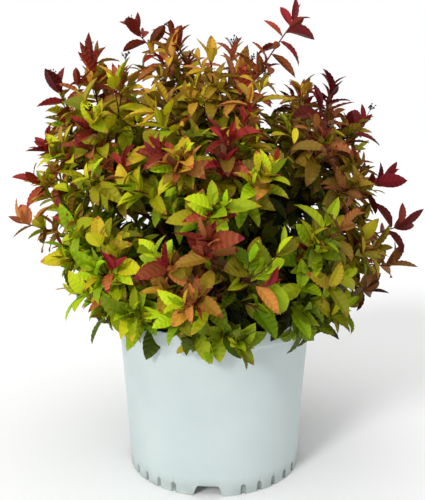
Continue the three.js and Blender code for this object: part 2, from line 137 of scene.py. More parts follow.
def chance(*keys):
    """The same number from 0 to 1 for the same keys. The first tells one use from another."""
    state = SEED
    for key in keys:
        state = (state ^ (key + 1)) * 0x9E3779B1 & 0xFFFFFFFF
        state ^= state >> 15
        state = state * 0x85EBCA6B & 0xFFFFFFFF
        state ^= state >> 13
    return state / 2**32


def between(low, high, *keys):
    return low + (high - low) * chance(*keys)


def mix(low, high, share):
    return low + (high - low) * share


def smooth(value, low=0.0, high=1.0):
    share = min(max((value - low) / (high - low), 0.0), 1.0)
    return share * share * (3 - 2 * share)


def unit(vector):
    return vector / max(norm(vector), 1e-9)


def turned(angle, ahead, aside):
    """A direction turned towards another by an angle in radians."""
    return cos(angle) * ahead + sin(angle) * aside


def polar(azimuth, radius, height):
    angle = radians(azimuth)
    return np.array([radius * cos(angle), radius * sin(angle), height])


def heading(azimuth, elevation):
    angle = radians(elevation)
    return polar(azimuth, cos(angle), sin(angle))


def from_crown_foot(direction, reach):
    return direction * reach + UP * CROWN.foot_height


def crown_reach(direction):
    ahead = direction @ heading(SHOULDER.azimuth, SHOULDER.elevation)
    shoulder = smooth(ahead, cos(radians(SHOULDER.width)), 1)
    return CROWN.waist + CROWN.swell * direction[2] + SHOULDER.swell * shoulder


def depth_share(point):
    """How far out a point lies: 0 at the crown's foot and 1 on the crown's outline."""
    away = point - UP * CROWN.foot_height
    return norm(away) / crown_reach(unit(away))


# ---- Curves: each is three control points ----

def point_on(curve, share):
    start, control, end = curve
    rest = 1 - share
    return rest * rest * start + 2 * rest * share * control + share * share * end


def tangent_on(curve, share):
    start, control, end = curve
    return unit((1 - share) * (control - start) + share * (end - control))


def length_of(curve, steps=12):
    points = [point_on(curve, step / steps) for step in range(steps + 1)]
    return sum(norm(b - a) for a, b in zip(points, points[1:]))


def cross_axes(direction):
    """Two directions square to a direction, the first of them level."""
    aside = np.cross(UP, direction)
    if norm(aside) < 1e-3:
        aside = np.array([0.0, 1.0, 0.0])
    aside = unit(aside)
    return aside, unit(np.cross(direction, aside))


# ---- Stems, masses and shoots, as in the source ----

def plan_masses():
    masses = []
    for tier in TIERS:
        for turn in range(tier.count):
            index = len(masses)
            azimuth = tier.azimuth + 360 / tier.count * turn
            wander = between(-VARIATION.azimuth, VARIATION.azimuth, 1, index) if tier.count > 1 else 0
            rise = between(-VARIATION.height, VARIATION.height, 2, index)
            mass = Sizes(
                tier=tier, azimuth=azimuth, shoots=[], twigs=[],
                name=f"{tier.name}_{turn + 1}" if tier.count > 1 else tier.name,
                centre=polar(azimuth, tier.centre_radius, tier.centre_height),
                entry=polar(azimuth + wander, tier.entry_radius, tier.entry_height + rise),
                stub_foot=polar(azimuth, tier.foot_radius, KNOT_SEAT + KNOT.height / 3),
                lean=heading(azimuth, 90 - tier.lean),
            )
            mass.stub_end = mass.stub_foot + mass.lean * tier.stub
            mass.stem = stem_curve(mass)
            mass.bough = bough_curve(mass)
            masses.append(mass)
    return masses


def stem_curve(mass):
    foot = mass.stub_end + mass.lean * GAP
    control = foot + mass.lean * STEM.rise * norm(mass.entry - foot)
    return foot, control, mass.entry


def bough_curve(mass):
    """The stem inside a mass, which carries on from the stem below it."""
    onward = unit(mass.entry - mass.stem[1])
    foot = mass.entry + onward * GAP
    middle = heading(mass.azimuth, mass.tier.elevation)
    end = from_crown_foot(middle, MASS_STEM.depth * crown_reach(middle))
    return foot, foot + onward * norm(end - foot) / 2, end


def spiral_direction(index, count, plan, turn=0.0):
    share = ((index + 0.5) / count) ** plan.evenness
    rise = mix(sin(radians(plan.lowest)), 1, share)
    return heading(GOLDEN_ANGLE * index + turn, degrees(asin(rise)))


def crown_tips():
    tips = [from_crown_foot(heading(azimuth, elevation), reach) for azimuth, elevation, reach in LEADERS]
    for index in range(CROWN.shoots):
        direction = spiral_direction(index, CROWN.shoots, CROWN)
        share = between(CROWN.shortest, CROWN.longest, 4, index)
        tips.append(from_crown_foot(direction, share * crown_reach(direction)))
    return tips


def mass_around(tip, masses):
    return min(masses, key=lambda mass: norm(tip - mass.centre))


def shoot_curve(mass, tip):
    height = (tip[2] - mass.centre[2]) / (2 * SHOOT.height_span) + 0.5
    share = mix(SHOOT.lowest_start, SHOOT.highest_start, min(max(height, 0), 1))
    start = point_on(mass.bough, share)
    control = (start + tip) / 2 + UP * SHOOT.arch * norm(tip - start)
    return start, control, tip


# ---- Finer twigs, which leave the shoots ----

def within(patches, point):
    direction = unit(point - UP * CROWN.foot_height)
    return any(direction @ heading(azimuth, elevation) > cos(radians(width))
               for azimuth, elevation, width in patches)


def fine_tips():
    """Tips all through the crown's outer part, but for its openings, and then some inside it."""
    tips = []
    for rule in FILLS:
        for index in range(rule.tips):
            direction = spiral_direction(index, rule.tips, FINE, rule.turn)
            share = mix(FINE.deep, rule.outermost, chance(rule.key, index) ** FINE.crowding)
            tip = from_crown_foot(direction, share * crown_reach(direction))
            if rule.in_openings or not within(OPENINGS, tip):
                tips.append(tip)
    return tips


def woody_part(curve):
    """A shoot without its last leaf, which ends where the shoot does."""
    share = max(1 - LEAF.tip_length / length_of(curve), LEAF.least_wood)
    return curve[0], mix(curve[0], curve[1], share), point_on(curve, share)


def turn_off_share(curve, tip):
    """The last place on a curve from where the tip lies ahead, within the turn-off angle."""
    share = FINE.latest_start
    while share > FINE.earliest_start:
        ahead = unit(tip - point_on(curve, share))
        if ahead @ tangent_on(curve, share) > cos(radians(FINE.turn_off)):
            return share
        share -= FINE.start_step
    return FINE.earliest_start


def fine_curve(mass, tip):
    """The shortest twig to a tip from any shoot of its mass, leaving that shoot gently."""
    places = [(shoot.curve, turn_off_share(shoot.curve, tip)) for shoot in mass.shoots]
    nearest = min(places, key=lambda place: norm(tip - point_on(*place)))
    start = point_on(*nearest)
    onward = tangent_on(*nearest)
    distance = norm(tip - start)
    control = start + 0.5 * distance * unit(onward + unit(tip - start)) - UP * FINE.lift * distance
    return start, control, tip


def grow_crown(masses):
    for number, tip in enumerate(crown_tips()):
        mass = mass_around(tip, masses)
        curve = woody_part(shoot_curve(mass, tip))
        mass.shoots.append(Sizes(curve=curve, key=number, main=True, leader=number < len(LEADERS)))
    for number, tip in enumerate(fine_tips()):
        mass = mass_around(tip, masses)
        curve = woody_part(fine_curve(mass, tip))
        mass.twigs.append(Sizes(curve=curve, key=1000 + number, main=False, leader=False))


# ---- Leaves ----

LEAF_ROWS = 12  # rows of points across a leaf, between its root and its tip
INNER_ROWS = 4  # the same for a leaf deep in the crown
INNER_DEPTH = 0.62  # the depth share from which a leaf counts as outer
ACROSS = (-1.0, -0.72, 0.0, 0.72, 1.0)  # places across a row, as shares of its half width
BODY, FURROW, MARGIN, TIP = 0, 1, 2, 3  # zones of a leaf that may differ in tint
# Lengths are shares of the leaf's. `slant` is how far a vein runs forward to the edge,
# `base` and `end` are how a lance-shaped and an oval leaf narrow at either end, and the
# tip's tint begins at `tip_rows`, a share of the rows.
BLADE = Sizes(
    slant=0.17, slant_from=0.3, base=(0.95, 0.68), end=(1.22, 0.88), row_power=1.08,
    pleat=0.010, pleat_wave=0.75 * pi, tooth=0.035, tip_rows=0.75, arch=(0.15, 1.0),
    twist=(-35, 35),
)
BROAD = Sizes(key=1, count=14, widths=(0.41, 0.57), fullness=(0.5, 1.0), folds=(10, 38))
SLIM = Sizes(key=2, count=8, widths=(0.27, 0.39), fullness=(0.1, 0.6), folds=(12, 38))


def leaf_outline(along, fullness):
    """Half widths along a leaf, as shares of the widest: lance-shaped at fullness 0, oval at 1."""
    base = mix(*BLADE.base, fullness)
    end = mix(*BLADE.end, fullness)
    widest = base / (base + end)
    return (along / widest) ** base * ((1 - along) / (1 - widest)) ** end


def leaf_template(rows, width, fullness, arch, fold, twist):
    """A leaf of unit length from the origin along +Y, facing +Z. Its rows of points slant
    forward from the midrib, as veins do, and every other row is raised and ends in a tooth."""
    def bent(along, aside, rise):
        angle = arch * along
        turn = twist * along
        sideways = aside * cos(turn) - rise * sin(turn)
        upwards = aside * sin(turn) + rise * cos(turn)
        forward = sin(angle) / arch + upwards * sin(angle)
        return [sideways, forward, -(1 - cos(angle)) / arch + upwards * cos(angle)]

    points = [bent(0, 0, 0)]
    for row in range(1, rows + 1):
        along = (row / (rows + 1)) ** BLADE.row_power
        ridge = 1 if row % 2 else -1
        slant = BLADE.slant * smooth(along, 0, BLADE.slant_from) * (1 - along)
        half = width / 2 * leaf_outline(along + slant, fullness)
        for place in ACROSS:
            reach = abs(place)
            edge = 1 + BLADE.tooth * ridge if reach == 1 else 1
            aside = place * half * edge * cos(fold)
            rise = reach * half * sin(fold) + BLADE.pleat * ridge * sin(BLADE.pleat_wave * reach)
            points.append(bent(along + slant * reach, aside, rise))
    points.append(bent(1, 0, 0))

    columns = len(ACROSS)
    last = 1 + (rows - 1) * columns
    faces = []
    for place in range(columns - 1):
        faces += [(0, place + 2, place + 1, BODY), (last + place, last + place + 1, last + columns, TIP)]
        outer = place in (0, columns - 2)
        for row in range(rows - 1):
            a = 1 + row * columns + place
            zone = TIP if row > BLADE.tip_rows * rows else FURROW if row % 2 else MARGIN if outer else BODY
            faces += [(a, a + 1, a + columns + 1, zone), (a, a + columns + 1, a + columns, zone)]
    faces = np.array(faces)
    return np.array(points), faces[:, :3], faces[:, 3]


def leaf_shapes(rows, kind):
    return [
        leaf_template(
            rows=rows,
            width=mix(*kind.widths, (index + 0.5) / kind.count),
            fullness=between(*kind.fullness, 11, kind.key, index),
            arch=between(*BLADE.arch, 12, kind.key, index),
            fold=radians(between(*kind.folds, 13, kind.key, index)),
            twist=radians(between(*BLADE.twist, 14, kind.key, index)),
        )
        for index in range(kind.count)
    ]


SHAPES = [[leaf_shapes(rows, kind) for kind in (BROAD, SLIM)] for rows in (INNER_ROWS, LEAF_ROWS)]


def leaf_places(shoot, rosette):
    """Shares along a shoot where its leaves stand, from its tip down, rosette first."""
    length = length_of(shoot.curve)
    spacing = LEAF.leader_step if shoot.leader else LEAF.spacing
    bare = LEAF.bare if shoot.main else LEAF.fine_bare
    back = 0.0
    places = []
    while 1 - back / length > bare:
        places.append(1 - back / length)
        step = LEAF.rosette_step if len(places) < rosette else spacing
        back += step * between(*LEAF.spacings, 15, shoot.key, len(places))
    return places


def place_leaves(shoot, taken):
    """The leaves of one shoot, each as points, triangles and their palette numbers.
    `taken` holds the cells where leaves already stand."""
    leaves = []
    rosette = LEAF.rosette if shoot.tint > REDDISH else LEAF.green_rosette
    opened = rosette + LEAF.opening
    places = leaf_places(shoot, rosette)
    for index, share in enumerate(places):
        key = (shoot.key, index)
        age = index / max(len(places) - 1, 1)
        in_rosette = index < rosette
        upturn = LEAF.upturn * (1 - smooth(index, 0, opened))
        direction = unit(tangent_on(shoot.curve, share) + upturn * UP)
        aside, above = cross_axes(direction)
        turn = 360 * chance(16, shoot.key) + GOLDEN_ANGLE * index + between(*LEAF.turns, 44, *key)
        outward = turned(radians(turn), aside, above)
        opening = mix(LEAF.tip_spread, LEAF.spread, smooth(index / opened))
        spread = radians(opening + between(*LEAF.spreads, 17, *key))
        along = turned(spread, direction, outward)
        droop = between(*LEAF.droops, 28, *key) * smooth(age, *LEAF.droop_ages)
        along = unit(along - UP * droop)
        root = point_on(shoot.curve, share)
        face = FACING.tipward * (sin(spread) * direction - cos(spread) * outward)
        face = face + FACING.outward * unit(root - UP * CROWN.heart_height) + FACING.upward * UP
        if shoot.leader:
            face = face + polar(360 * chance(46, *key), FACING.leader_aside, 0)
        face = unit(face - along * (face @ along))
        youngest = LEAF.leader_youngest if shoot.leader else LEAF.youngest
        size = mix(youngest, 1.0, smooth(index, 0, rosette - 1)) if in_rosette else 1.0
        size *= mix(1.0, LEAF.oldest, smooth(age, *LEAF.old_ages))
        length = LEAF.length * size * between(*LEAF.lengths, 18, *key)
        middle = root + along * length * 0.5
        cell = tuple(np.floor(middle / LEAF.apart).astype(int))
        if not in_rosette and cell in taken:
            continue
        if within(OPENINGS, middle) and chance(45, *key) < LEAF.thinned:
            continue
        taken.add(cell)
        young = index < rosette - LEAF.broad_in_rosette
        slim = young or chance(47, *key) < LEAF.slim_in_sun * exposure(middle)
        shapes = SHAPES[int(depth_share(middle) > INNER_DEPTH)][int(slim)]
        points, faces, zones = shapes[int(chance(19, *key) * len(shapes))]
        axes = np.stack([np.cross(along, face), along, face])
        colours = leaf_colours(shoot, index, middle)
        leaves.append((root + length * points @ axes, faces, colours[zones]))
    return leaves


# ---- Leaf colours ----

LEAF_HUES = [  # from yellow-green over gold and bronze to crimson
    "#67880d", "#738a0e", "#7e8d10", "#878610", "#887916", "#886d1c", "#866023", "#835425",
    "#7f4927", "#70321e", "#662016", "#63171c",
]
REDDISH = 5.0  # the leaf hue from which a shoot's tip counts as red
FINER = 2  # colours drawn for each one listed
# Painted light and shade: one copy of the leaf palette at each of these brightnesses, lighter for leaves
# in the sun, darker deep in the crown.
PAINTED_LIGHT_LEVELS = (1.46, 1.17, 0.88, 0.58, 0.33)  # from leaves in the sun to those deep in the crown
TOP_HUE = FINER * (len(LEAF_HUES) - 1)
# Where leaves redden: ranges of height and of the way to the right and left, and shares.
SUNNY = Sizes(
    top=(0.45, 0.60), lean=0.3, right=(0.10, 0.22), right_rise=(0.22, 0.32),
    right_share=0.75, left=(0.20, 0.28), left_share=0.3,
)
# How red and bronze tips are dealt out: shares from shade to sun, and where they begin.
REDS = Sizes(
    depths=(0.66, 0.86), crimson=(0.08, 0.25), crimson_rise=(0.25, 0.32),
    bronze=(0.08, 0.38), patch_depth=0.3, leader_rise=(0.35, 0.40), leader_lean=0.12,
    least_ripe=0.35, ripe_chances=(0.15, 0.50),
)
# Places on the scale of LEAF_HUES, steps along it, and the leaves over which a tip's red fades.
HUE = Sizes(
    heights=(0.28, 0.50), green_tip=(0.6, 1.9), golden_tip=4.6, tip=(0, 2.6), bronze=(5.4, 9.4),
    crimson=(9.6, 11.4), leader=(6.2, 9.6), leader_tip=(0, 1.8), green=(0.9, 2.5), golden=6.4,
    shoot=(-1.2, 1.6), wander=1.0, patch=2.1, patch_drift=2.2, furrow=-0.35, edging=(1.0, 4.0),
    margin=(0.0, 0.5), edged_margin=(0.2, 1.5), end=(0.0, 1.6), least_end=0.4,
    fade=(1, 8), leader_fade=(3, 19),
)
# Painted shade: steps down the palette's levels of painted light and shade, to the right, low down, in an
# opening and deep inside.
SHADE = Sizes(
    right=0.9, right_from=(0.04, 0.16), low=1.4, low_heights=(0.20, 0.30), opening=1.1,
    outer=0.86, depth=0.34, inside=(1.5, 2.6), across=(-0.10, 0.10), wander=(0, 2.1),
)


def channels_of(code):
    return [int(code[i:i + 2], 16) for i in (1, 3, 5)]


def linear(code):
    """A colour written as #rrggbb, as the linear numbers that a shader takes."""
    shares = [channel / 255 for channel in channels_of(code)]
    return [c / 12.92 if c <= 0.04045 else ((c + 0.055) / 1.055) ** 2.4 for c in shares] + [1.0]


def plain_material(name, code, roughness, specular):
    material = bpy.data.materials.new(name)
    material.use_nodes = True
    fill(material.node_tree, "Principled BSDF", Base_Color=linear(code), Roughness=roughness,
         Specular_IOR_Level=specular)
    return material


def finer(codes, painted_brightness):
    """The colours of a palette with more drawn in between them, all made lighter or darker by one level of
    painted light and shade.
    """
    channels = np.array([channels_of(code) for code in codes]) * painted_brightness
    places = np.linspace(0, len(codes) - 1, TOP_HUE + 1)
    drawn = [np.interp(places, range(len(codes)), channel) for channel in channels.T]
    return [f"#{round(r):02x}{round(g):02x}{round(b):02x}" for r, g, b in zip(*drawn)]


# A copy of the leaf palette for each level of painted light and shade.
def leaf_materials():
    return [plain_material(f"leaf_{level}_{i:02}", code, roughness=0.45, specular=0.12)
            for level, painted_brightness in enumerate(PAINTED_LIGHT_LEVELS)
            for i, code in enumerate(finer(LEAF_HUES, painted_brightness))]


def exposure(point):
    """How soon leaves redden at a place: at the crown's top first, then right, then left."""
    x, _, z = point
    side = smooth(x, *SUNNY.right) * smooth(z, *SUNNY.right_rise)
    top = smooth(z + SUNNY.lean * x, *SUNNY.top)
    return min(top + SUNNY.right_share * side + SUNNY.left_share * smooth(-x, *SUNNY.left), 1.0)


def ripeness(shoot):
    """How far a shoot reddens with the others: some stay green among bronze ones."""
    share = smooth(chance(49, shoot.key), *REDS.ripe_chances)
    return 1.0 if shoot.leader else mix(REDS.least_ripe, 1.0, share)


def tip_hue(shoot):
    """How red a shoot's tip is, on the scale of the leaf hues."""
    tip = shoot.curve[2]
    sun = exposure(tip)
    outside = smooth(depth_share(tip), *REDS.depths)
    crimson = mix(*REDS.crimson, sun) * outside * smooth(tip[2], *REDS.crimson_rise)
    roll = chance(21, shoot.key)
    if shoot.leader:
        high = smooth(tip[2] + REDS.leader_lean * tip[0], *REDS.leader_rise)
        return mix(*HUE.leader, high) + between(*HUE.leader_tip, 22, shoot.key)
    if roll < crimson or outside > REDS.patch_depth and within(CRIMSON, tip):
        return between(*HUE.crimson, 22, shoot.key)
    if roll < crimson + mix(*REDS.bronze, sun) * outside or within(BRONZE, tip):
        return between(*HUE.bronze, 22, shoot.key)
    green = mix(*HUE.green_tip, smooth(tip[2], *HUE.heights))
    return mix(green, HUE.golden_tip, sun * ripeness(shoot)) + between(*HUE.tip, 22, shoot.key)


def leaf_colours(shoot, index, middle):
    """The palette numbers of a leaf's body, furrows, margin and tip, at its level of painted light and
    shade.
    """
    key = (shoot.key, index)
    x, _, z = middle
    sun = exposure(middle) * ripeness(shoot)
    green = mix(*HUE.green, smooth(z, *HUE.heights))
    body = mix(green, HUE.golden, sun) + between(*HUE.shoot, 23, shoot.key)
    wander = HUE.wander
    if within(BRONZE, middle):
        body += HUE.patch
        wander = HUE.patch_drift
    blush = 1 - smooth(index, *(HUE.leader_fade if shoot.leader else HUE.fade))
    hue = mix(body, shoot.tint, blush) + between(-wander, wander, 24, *key)
    edging = smooth(hue, *HUE.edging)
    margin = between(*HUE.margin, 26, *key) + edging * between(*HUE.edged_margin, 29, *key)
    end = margin + (HUE.least_end + edging) * between(*HUE.end, 27, *key)
    # Painted shade: the leaf's level steps down deep in the crown, to the right, low down and in openings,
    # with a random spread of tone.
    inside = smooth(SHADE.outer - depth_share(middle), 0.0, SHADE.depth)
    shade = SHADE.right * smooth(x, *SHADE.right_from) + SHADE.low * (1 - smooth(z, *SHADE.low_heights))
    if within(OPENINGS, middle):
        shade += SHADE.opening
    depth_shade = mix(*SHADE.inside, smooth(x, *SHADE.across))
    level = int(between(*SHADE.wander, 25, *key) + depth_shade * inside + shade)
    return np.array([palette_number(hue + shift, level) for shift in (0, HUE.furrow, margin, end)])


# A palette number from a hue and a level of painted light and shade.
def palette_number(hue, level):
    place = min(max(round(FINER * hue), 0), TOP_HUE)
    return min(level, len(PAINTED_LIGHT_LEVELS) - 1) * (TOP_HUE + 1) + place


# ---- Meshes from arrays ----

def mesh_piece(name, points, faces, materials, places=None, soft=True):
    """A mesh object from arrays of points, triangles and material numbers."""
    mesh = bpy.data.meshes.new(name)
    mesh.vertices.add(len(points))
    mesh.vertices.foreach_set("co", np.ravel(points))
    mesh.loops.add(3 * len(faces))
    mesh.loops.foreach_set("vertex_index", np.ravel(faces))
    mesh.polygons.add(len(faces))
    mesh.polygons.foreach_set("loop_start", range(0, 3 * len(faces), 3))
    for material in materials:
        mesh.materials.append(material)
    if places is not None:
        mesh.polygons.foreach_set("material_index", places)
    mesh.update(calc_edges=True)
    mesh.validate()
    mesh.polygons.foreach_set("use_smooth", [soft] * len(faces))
    return put(name, mesh)


def put(name, data):
    thing = bpy.data.objects.new(name, data)
    bpy.context.scene.collection.objects.link(thing)
    return thing


def joined_arrays(parts):
    """Several (points, triangles) pairs as one."""
    points, faces = zip(*parts)
    starts = np.cumsum([0, *map(len, points)])
    return np.concatenate(points), np.concatenate([face + start for face, start in zip(faces, starts)])


def tube_arrays(curve, foot_radius, tip_radius, steps, sides):
    """A round tapering limb along a curve, closed at both ends."""
    points = []
    aside, _ = cross_axes(tangent_on(curve, 0))
    for step in range(steps + 1):
        share = step / steps
        direction = tangent_on(curve, share)
        aside = unit(aside - direction * (aside @ direction))
        above = np.cross(direction, aside)
        radius = mix(foot_radius, tip_radius, share)
        for side in range(sides):
            outward = turned(2 * pi * side / sides, aside, above)
            points.append(point_on(curve, share) + radius * outward)
    faces = ring_faces(steps, sides)
    last = steps * sides
    for side in range(1, sides - 1):
        faces += [(0, side + 1, side), (last, last + side, last + side + 1)]
    return np.array(points), np.array(faces)


def ring_faces(steps, sides):
    """The wall between rings of points, each ring joined to the next."""
    faces = []
    for step in range(steps):
        for side in range(sides):
            a = step * sides + side
            b = step * sides + (side + 1) % sides
            faces += [(a, b, a + sides), (b, b + sides, a + sides)]
    return faces


# ---- Foliage pieces ----

def make_foliage(masses):
    leaf_finish = leaf_materials()
    twig_finish = [plain_material("young_twig", "#54261a", roughness=0.6, specular=0.15)]
    taken = set()
    for mass in masses:
        leaves = []
        twigs = [tube_arrays(mass.bough, MASS_STEM.foot_radius, MASS_STEM.tip_radius, *TUBE.bough)]
        for shoot in mass.shoots + mass.twigs:
            size, fineness = (SHOOT, TUBE.shoot) if shoot.main else (FINE, TUBE.twig)
            twigs.append(tube_arrays(shoot.curve, size.foot_radius, size.tip_radius, *fineness))
            shoot.tint = tip_hue(shoot)
            leaves += place_leaves(shoot, taken)
        blades = joined_arrays([leaf[:2] for leaf in leaves])
        places = np.concatenate([leaf[2] for leaf in leaves])
        piece = mesh_piece(f"leaves_{mass.name}", *blades, leaf_finish, places, soft=False)
        twig_piece = mesh_piece(f"twigs_{mass.name}", *joined_arrays(twigs), twig_finish)
        for grown in (piece, twig_piece):
            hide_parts(f"foliage_{mass.name}")
            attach(grown, "root")


# ---- Patterned finishes ----

# For each: scale and detail of the colour's grain, its stops, scale and range of the
# roughness, scale and detail of the relief, and its depth.
SPECKLED = {
    # painted shade: the darker grey finish in the pot's flutes
    "grimy_plastic": ((140, 6), [(0.3, "#737c79"), (0.7, "#99a4a1")], 60, (0.5, 0.7), (420, 2), 0.00008),
    "black_plastic": ((25, 5), [(0.3, "#0f1011"), (0.7, "#1a1b1c")], 60, (0.25, 0.45), (300, 2), 0.00006),
    "damp_mix": ((160, 8), [(0.3, "#0c0806"), (0.5, "#1e140d"), (0.72, "#382718")],
                 90, (0.75, 1.0), (240, 6), 0.0012),
    "chipped_bark": ((70, 3), [(0.32, "#170e09"), (0.5, "#342114"), (0.68, "#5c412b")],
                     120, (0.7, 0.95), (500, 5), 0.0004),
}


def fill(tree, node_name, **values):
    """Sets a node's inputs, or joins them to outputs of other nodes."""
    node = tree.nodes[node_name]
    for name, value in values.items():
        socket = node.inputs[name.replace("_", " ")]
        if isinstance(value, bpy.types.NodeSocket):
            tree.links.new(value, socket)
        else:
            socket.default_value = value
    return node


class Nodes:
    """Short words for building a material's or a world's nodes."""

    def __init__(self, owner, place="Object"):
        owner.use_nodes = True
        self.owner = owner
        self.tree = owner.node_tree
        self.place = self.add("TexCoord").outputs[place]

    def add(self, kind, **values):
        node = self.tree.nodes.new("ShaderNode" + kind)
        if kind == "Mix":
            node.data_type = "RGBA"
        return fill(self.tree, node.name, **values)

    def noise(self, scale, detail=5.0, stretch=(1, 1, 1)):
        place = self.add("Mapping", Vector=self.place, Scale=stretch).outputs["Vector"]
        return self.add("TexNoise", Vector=place, Scale=scale, Detail=detail).outputs["Fac"]

    def ramp(self, source, *stops):
        """A colour ramp of (place, #rrggbb) stops."""
        node = self.add("ValToRGB", Fac=source)
        elements = node.color_ramp.elements
        for _ in stops[2:]:
            elements.new(0.5)
        for element, (place, code) in zip(elements, stops):
            element.position = place
            element.color = linear(code)
        return node.outputs["Color"]

    def spread(self, source, low, high, start=0.3, end=0.7):
        """Goes from low to high while its source goes from start to end."""
        return self.add("MapRange", Value=source, From_Min=start, From_Max=end,
                        To_Min=low, To_Max=high).outputs["Result"]

    def height(self):
        return self.add("SeparateXYZ", Vector=self.place).outputs["Z"]

    def blend(self, share, low, high):
        return self.add("Mix", Factor=share, A=low, B=high).outputs["Result"]

    def finish(self, colour, roughness, relief, relief_depth):
        bump = self.add("Bump", Height=relief, Distance=relief_depth).outputs["Normal"]
        fill(self.tree, "Principled BSDF", Base_Color=colour, Roughness=roughness, Normal=bump)
        return self.owner


def speckled(name):
    grain, stops, rough_scale, rough_range, relief, relief_depth = SPECKLED[name]
    nodes = Nodes(bpy.data.materials.new(name))
    colour = nodes.ramp(nodes.noise(*grain), *stops)
    roughness = nodes.spread(nodes.noise(rough_scale), *rough_range)
    return nodes.finish(colour, roughness, nodes.noise(*relief), relief_depth)


def white_plastic():
    """White plastic, a little cloudy, with dust low on the wall."""
    nodes = Nodes(bpy.data.materials.new("white_plastic"))
    cloud = nodes.noise(scale=9, detail=4)
    clean = nodes.ramp(cloud, (0.3, "#b8c5c5"), (0.7, "#c4d0cf"))
    dusty = nodes.ramp(nodes.noise(scale=60, detail=6), (0.35, "#9fa8a5"), (0.65, "#b4bfbc"))
    above_dust = nodes.spread(nodes.height(), low=0.0, high=1.0, start=0.0, end=DUST_HEIGHT)
    colour = nodes.blend(above_dust, dusty, clean)
    roughness = nodes.spread(nodes.noise(scale=35), low=0.34, high=0.48)
    return nodes.finish(colour, roughness, nodes.noise(scale=420, detail=2), relief_depth=0.00005)


def stem_bark():
    """Thin brown bark with lengthwise cracks and paler patches."""
    nodes = Nodes(bpy.data.materials.new("stem_bark"))
    grain = nodes.noise(scale=300, detail=6, stretch=(1, 1, 0.12))
    patches = nodes.ramp(nodes.noise(scale=45, detail=3), (0.35, "#4a2f20"), (0.65, "#7b5a3e"))
    cracks = nodes.ramp(grain, (0.36, "#24150e"), (0.55, "#80604a"))
    colour = nodes.blend(nodes.spread(nodes.noise(scale=120), low=0.3, high=0.7), patches, cracks)
    return nodes.finish(colour, nodes.spread(grain, low=0.65, high=0.9), grain, relief_depth=0.0005)


# ---- The pot ----

STANDING_EDGE = 8  # the row of the section where the standing ring's outside begins
FLUTE_SHADE_DEPTH = 0.0010  # how deep a flute must dent the wall for its painted shade
DUST_HEIGHT = 0.026  # how far up the wall the dust lies
MERGE = 1e-6  # how near each other points become one
# The pot's finishes: white, the black inside, and painted shade in the flutes.
WHITE, BLACK, FLUTE_SHADE = 0, 1, 2
EDGE = 0.0008  # rounding of the pot's fine edges
# Where the section has its rows, as shares of each stretch, and angles round the rim's bevel.
POT_MESH = Sizes(
    sides=960, foot_rows=12, floor=(0.0, 0.6, 1.0), ring=(0.75, 0.5, 0.25),
    low_wall=(0.3, 0.5, 0.7, 0.9, 1.0), high_wall=(0.25, 0.5, 0.75, 0.95, 1.0),
    band_edge=(0.4, 0.3), band=(0.2, 0.5, 0.8), bevel_angles=(0, 22.5, 45, 67.5, 90),
)
SOFT = Sizes(notch_drop=0.12, notch_from=0.5, flute_reach=1.2, flute_slope=0.5)  # shares


def pot_profile():
    """Rows of the pot's section, from under its floor, over the rim, to its floor again,
    each a radius and a height, and how many of them come before the black inside."""
    foot, waist, rim = POT.foot_radius, POT.waist_radius, POT.rim_radius
    floor, middle, top = POT.floor_height, POT.waist_height, POT.height
    ring = foot - POT.foot_wall
    shoulder = rim - POT.band_step
    inside = shoulder - POT.wall
    inner_floor = floor + POT.wall
    band_foot = top - POT.rim_band
    wall_top = band_foot - POT.bevel
    rows = [(ring * share, floor) for share in POT_MESH.floor]
    rows += [(ring, floor * share) for share in POT_MESH.ring]
    rows += [(ring, EDGE), (ring + EDGE, 0.0), (foot - EDGE, 0.0)]
    heights = [mix(EDGE, floor, row / POT_MESH.foot_rows) for row in range(POT_MESH.foot_rows + 1)]
    rows += [(mix(foot, waist, height / middle), height) for height in heights]
    rows += [(mix(foot, waist, share), share * middle) for share in POT_MESH.low_wall]
    rows += [(mix(waist, shoulder, share), mix(middle, wall_top, share)) for share in POT_MESH.high_wall]
    inset, drop = POT_MESH.band_edge
    rows += [(rim - inset * POT.bevel, band_foot - drop * POT.bevel), (rim, band_foot + EDGE)]
    rows += [(rim, mix(band_foot, top, share)) for share in POT_MESH.band]
    for angle in map(radians, POT_MESH.bevel_angles):
        rows.append((rim - POT.bevel * (1 - cos(angle)), top - POT.bevel * (1 - sin(angle))))
    white_rows = len(rows)
    rows += [(inside + EDGE, top), (inside, top - EDGE), (inside, wall_top)]
    rows += [(waist - POT.wall, middle), (foot - POT.wall, inner_floor), (0.0, inner_floor)]
    return rows, white_rows


def arc(turn):
    return abs(radians(turn)) * POT.foot_radius


def notch_rise(turn):
    """How far up a drain notch cuts the foot, at some degrees from its middle."""
    aside = arc(turn)
    if aside >= NOTCH.foot_width / 2:
        return 0.0
    slope = NOTCH.height / ((NOTCH.foot_width - NOTCH.top_width) / 2)
    rise = min((NOTCH.foot_width / 2 - aside) * slope, NOTCH.height)
    corner = smooth(NOTCH.top_width / 2 - aside, -NOTCH.corner, NOTCH.corner)
    high = smooth(rise, SOFT.notch_from * NOTCH.height, NOTCH.height)
    return rise - SOFT.notch_drop * NOTCH.height * (1 - corner) * high


def flute_depth(turn, height):
    """How deep the flutes dent the wall."""
    wedge = 360 / NOTCH.count
    first = (wedge - FLUTE.pitch * (FLUTE.between - 1)) / 2
    nearest = min(range(FLUTE.between), key=lambda i: abs(turn % wedge - first - i * FLUTE.pitch))
    aside = arc(turn % wedge - first - nearest * FLUTE.pitch)
    half = FLUTE.width / 2
    over = max(height - (FLUTE.height - half), 0)
    return FLUTE.depth * smooth(SOFT.flute_reach - hypot(aside, over) / half, 0, SOFT.flute_slope)


